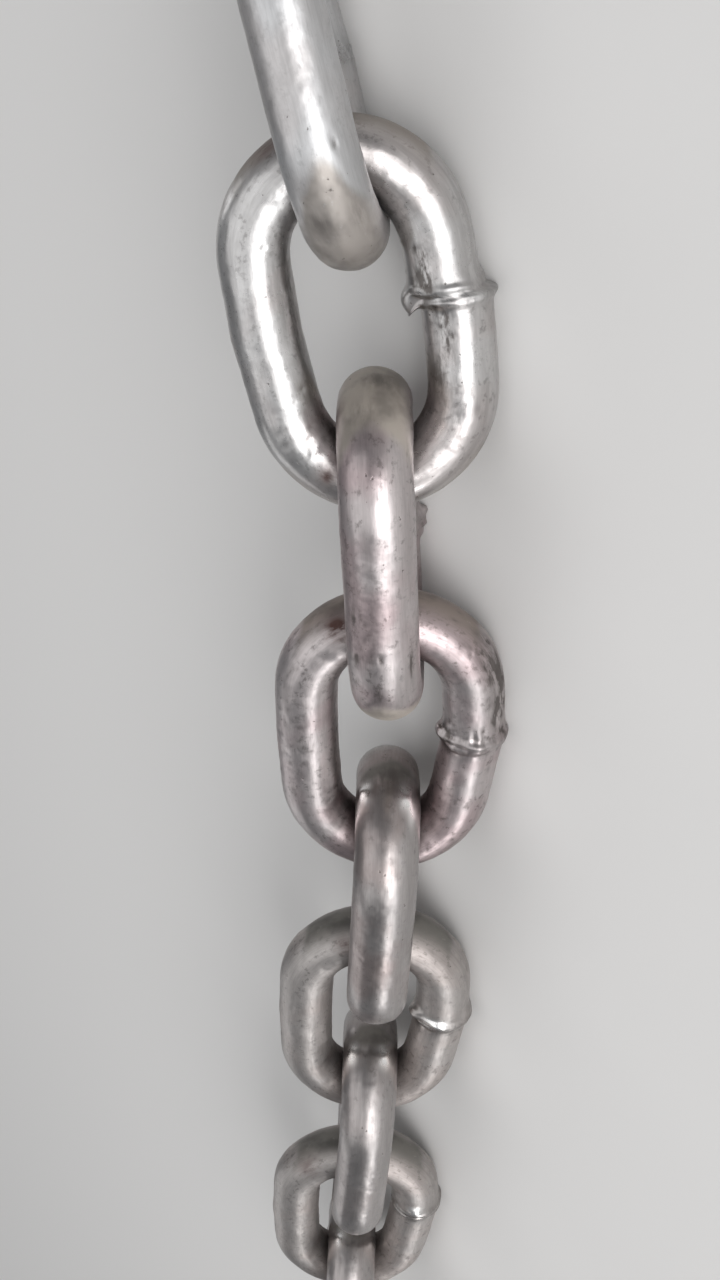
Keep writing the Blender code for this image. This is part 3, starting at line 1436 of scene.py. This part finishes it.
MARKS: dict[str, Marks] = {
    "link_01": Marks(
        seed=11,
        tone=Tone.HAZY,
        die=DieMarks(near_reach=8.0, far_reach=19.0, half_angle_deg=80.0, far_arch=-8.0),
        flash=WeldFlash(ridge_height=0.12, swelling=0.1, unevenness=0.3),
        scars=(
            Mound(45.5, 14.0, 8.0, 4.6, -0.2, 0.0, 4.0),
            Mound(49.0, 32.0, 0.5, 0.35, -0.16),
            Mound(53.7, 18.0, 0.9, 0.9, 0.07),
            Mound(55.4, 10.0, 0.7, 0.8, 0.07),
            Mound(43.6, 330.0, 0.7, 1.1, -0.14),
            Mound(39.9, 313.0, 1.6, 0.5, 0.08),
        ),
        stains=(
            Mound(42.0, 335.0, 1.3, 1.5, 0.5),
            Mound(49.0, 32.0, 0.4, 0.3, 1.0),
            Mound(41.5, 40.0, 2.2, 1.6, 0.35),
        ),
    ),
    "link_02": Marks(
        seed=12,
        tone=Tone.BRIGHT,
        bend=Bend(-3.0, near_end=0.95, near_weld=0.65, far_weld=-0.75, far_end=-0.35, plain_far_end=1.0),
        flash=WeldFlash(
            ridge_height=0.26,
            ridge_width=0.6,
            ridge_spacing=1.8,
            unevenness=0.3,
            burrs=(
                Mound(0.5, 166.0, 1.1, 1.3, 1.6, 2.0, 3.0),
                Mound(0.9, 120.0, 0.8, 1.6, 0.35),
                Mound(-0.4, 20.0, 2.0, 3.4, 0.28, 0.0, 6.0),
            ),
        ),
        scars=(
            Mound(73.0, 111.0, 0.45, 0.4, -0.15),
            Mound(46.7, 103.0, 0.8, 0.7, -0.16),
            Mound(42.3, 103.0, 0.7, 0.9, 0.13),
            Mound(12.0, 81.0, 1.0, 1.2, 0.10),
            Mound(14.0, 92.0, 0.8, 0.9, -0.10),
        ),
        fields=(
            PittedField(-6.5, 118.0, 2.2, 0.7, 40, 0.05),
            PittedField(2.0, 112.0, 2.4, 0.8, 40, 0.06),
            PittedField(44.5, 104.0, 2.4, 1.2, 14, 0.07),
            PittedField(14.0, 78.0, 3.0, 1.4, 20, 0.05),
        ),
        stains=(
            Mound(-7.0, 116.0, 3.4, 1.0, 0.75),
            Mound(-5.4, 135.0, 1.6, 1.6, 0.6),
            Mound(1.5, 112.0, 3.2, 0.9, 0.75),
            Mound(7.5, 128.0, 4.0, 1.6, 0.7),
            Mound(64.0, 152.0, 10.0, 1.7, 0.7),
        ),
        rust=(
            Mound(38.3, 88.0, 1.3, 1.2, 0.9),
            Mound(83.0, 30.0, 2.2, 2.6, 0.7),
            Mound(19.0, 160.0, 3.0, 2.0, 0.45),
        ),
    ),
    "link_03": Marks(
        seed=13,
        tone=Tone.WARM,
        bend=Bend(weld_place=1.6),
        spread=0.3,
        die=DieMarks(near_reach=9.0, far_reach=14.0, half_angle_deg=80.0),
        flash=WeldFlash(
            ridge_height=0.15,
            burrs=(
                Mound(-1.4, 88.0, 0.8, 1.0, 1.3, -0.3),
                Mound(0.4, 84.0, 1.0, 1.6, 0.9, 0.0, 3.0),
                Mound(2.2, 84.0, 0.9, 1.4, 0.6, 0.0, 3.0),
            ),
        ),
        fields=(PittedField(50.0, 320.0, 3.5, 1.6, 50, 0.05),),
        scars=(
            Mound(49.3, 54.0, 2.6, 0.5, -0.25),
            Mound(51.3, 358.0, 0.8, 0.35, -0.07),
            Mound(66.0, 350.0, 1.2, 1.0, 0.06),
        ),
        stains=(
            Mound(49.3, 54.0, 2.4, 0.4, 1.2),
            Mound(51.3, 358.0, 0.9, 0.4, 0.8),
            Mound(88.5, 10.0, 1.6, 3.0, 0.5),
            Mound(83.5, 345.0, 2.0, 2.4, 0.35),
            Mound(45.0, 340.0, 2.6, 1.8, 0.4),
            Mound(58.0, 310.0, 6.0, 1.2, 0.5),
        ),
    ),
    "link_04": Marks(
        seed=14,
        tone=Tone.BROWN,
        bend=Bend(-1.3, near_end=-0.5, near_weld=-0.95, far_weld=-0.85, far_end=0.7, plain_far_end=0.4),
        flash=WeldFlash(
            ridge_height=0.22,
            ridge_spacing=1.3,
            ridge_width=0.6,
            swelling=0.25,
            burrs=(
                Mound(-0.9, 165.0, 1.2, 1.5, 1.1, -0.5, 3.0),
                Mound(-2.6, 150.0, 0.9, 1.2, 0.4),
                Mound(0.3, 128.0, 0.8, 1.0, 0.35),
                Mound(-0.1, 88.0, 1.0, 1.5, 0.45, 0.0, 3.0),
                Mound(0.4, 60.0, 0.7, 0.9, 0.25),
                Mound(-0.4, 20.0, 1.0, 1.4, 0.2),
            ),
        ),
        fields=(
            PittedField(-11.0, 32.0, 4.5, 1.5, 130, 0.14, 0.75),
            PittedField(-3.4, 50.0, 0.9, 3.0, 30, 0.08, 0.5),
            PittedField(-2.8, 140.0, 0.9, 1.8, 20, 0.06),
            PittedField(62.0, 168.0, 7.0, 1.2, 50, 0.06),
            PittedField(66.0, 60.0, 9.0, 1.8, 80, 0.05, 0.5),
            PittedField(22.0, 60.0, 5.0, 1.0, 30, 0.05),
        ),
        stains=(
            Mound(-15.0, 25.0, 4.0, 2.2, 0.7),
            Mound(-8.0, 32.0, 4.0, 2.2, 0.8),
            Mound(-3.0, 150.0, 1.6, 1.6, 0.9),
            Mound(60.0, 160.0, 9.0, 1.4, 0.5),
        ),
        rust=(Mound(83.2, 54.0, 1.8, 2.0, 1.3),),
        scars=(
            Mound(-3.6, 92.0, 1.3, 0.35, -0.16),
            Mound(-3.6, 82.0, 1.6, 0.45, 0.10),
        ),
    ),
    "link_05": Marks(
        seed=15,
        tone=Tone.GREY,
        spread=0.3,
        die=EDGE_ON_DIE,
        scars=(
            Mound(86.8, 306.0, 0.8, 0.9, 0.30),
            Mound(85.6, 318.0, 0.6, 0.6, 0.16),
            Mound(85.8, 38.0, 0.9, 0.9, 0.30),
            Mound(74.2, 358.0, 0.5, 0.3, -0.05),
            Mound(72.0, 352.0, 0.4, 0.25, -0.05),
        ),
        stains=(
            Mound(89.0, 0.0, 1.6, 4.0, 0.8),
            Mound(61.6, 75.0, 5.0, 1.0, 0.9),
        ),
        # Painted glints on the near crown's shoulders, laid on as patches rubbed bright
        rubbed_and_glint=(
            Mound(86.7, 310.0, 1.6, 1.3, 1.0, 0.0, 3.0),
            Mound(84.6, 290.0, 1.5, 0.8, 0.8),
            Mound(85.8, 34.0, 1.7, 1.3, 1.0, 0.0, 3.0),
            Mound(83.7, 48.0, 1.5, 0.8, 0.8),
        ),
    ),
    "link_06": Marks(
        seed=16,
        tone=Tone.DULL,
        bend=Bend(-2.6, near_end=0.5, near_weld=0.1, far_weld=0.15, far_end=1.3, plain_far_end=0.4),
        flash=WeldFlash(
            ridge_spacing=1.1,
            ridge_width=0.55,
            burrs=(
                Mound(-1.0, 158.0, 1.4, 1.6, 1.2, -0.2, 3.0),
                Mound(-1.5, 26.0, 1.3, 2.0, 0.5, 0.0, 3.0),
                Mound(-0.6, 98.0, 0.9, 1.3, 0.35, 0.0, 3.0),
            ),
        ),
        rust=(Mound(84.2, 62.0, 1.5, 1.6, 0.8),),
        # Painted glint on the weld's bead, laid on as a patch rubbed bright
        rubbed_and_glint=(Mound(-3.7, 106.0, 0.9, 1.8, 1.0, 0.0, 3.0),),
    ),
    "link_07": Marks(
        seed=17,
        tone=Tone.SLATE,
        spread=0.2,
        die=EDGE_ON_DIE,
        scars=(
            Mound(87.2, 313.0, 0.9, 0.9, 0.30),
            Mound(86.7, 32.0, 0.8, 0.8, 0.28),
        ),
        # Painted glints on the near crown's shoulders, laid on as patches rubbed bright
        rubbed_and_glint=(
            Mound(86.8, 313.0, 1.7, 1.3, 1.0, 0.0, 3.0),
            Mound(86.4, 30.0, 1.6, 1.2, 1.0, 0.0, 3.0),
        ),
    ),
    "link_08": Marks(
        seed=18,
        tone=Tone.DULL,
        bend=Bend(-6.5, near_end=0.5, near_weld=-0.1, far_weld=-0.1, far_end=1.3, plain_far_end=0.5),
        flash=WeldFlash(
            ridge_height=0.24,
            burrs=(Mound(-1.9, 90.0, 1.0, 1.3, 0.35, 0.0, 3.0),),
        ),
        rust=(Mound(80.2, 52.0, 2.4, 2.4, 0.6),),
        # Painted glint on the weld's bead, laid on as a patch rubbed bright
        rubbed_and_glint=(Mound(-8.5, 91.0, 1.3, 1.5, 1.0, 0.0, 3.0),),
    ),
    "link_09": Marks(
        seed=19,
        tone=Tone.SLATE,
        spread=0.2,
        die=EDGE_ON_DIE,
        scars=(
            Mound(87.6, 322.0, 0.8, 0.8, 0.28),
            Mound(87.2, 50.0, 0.8, 0.8, 0.28),
        ),
        # Painted glints on the near crown's shoulders, laid on as patches rubbed bright
        rubbed_and_glint=(
            Mound(87.6, 326.0, 1.3, 1.1, 1.0),
            Mound(87.2, 70.0, 1.6, 1.2, 0.9),
        ),
    ),
}


def main() -> None:
    """Build the chain and the studio."""
    logging.basicConfig(level=logging.INFO, format="%(name)s: %(message)s")
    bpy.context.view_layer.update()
    links = Chain(MARKS).build()
    LOG.info("%d links", len(links))
    Studio(LAMPS).build()


if __name__ == "__main__":
    main()
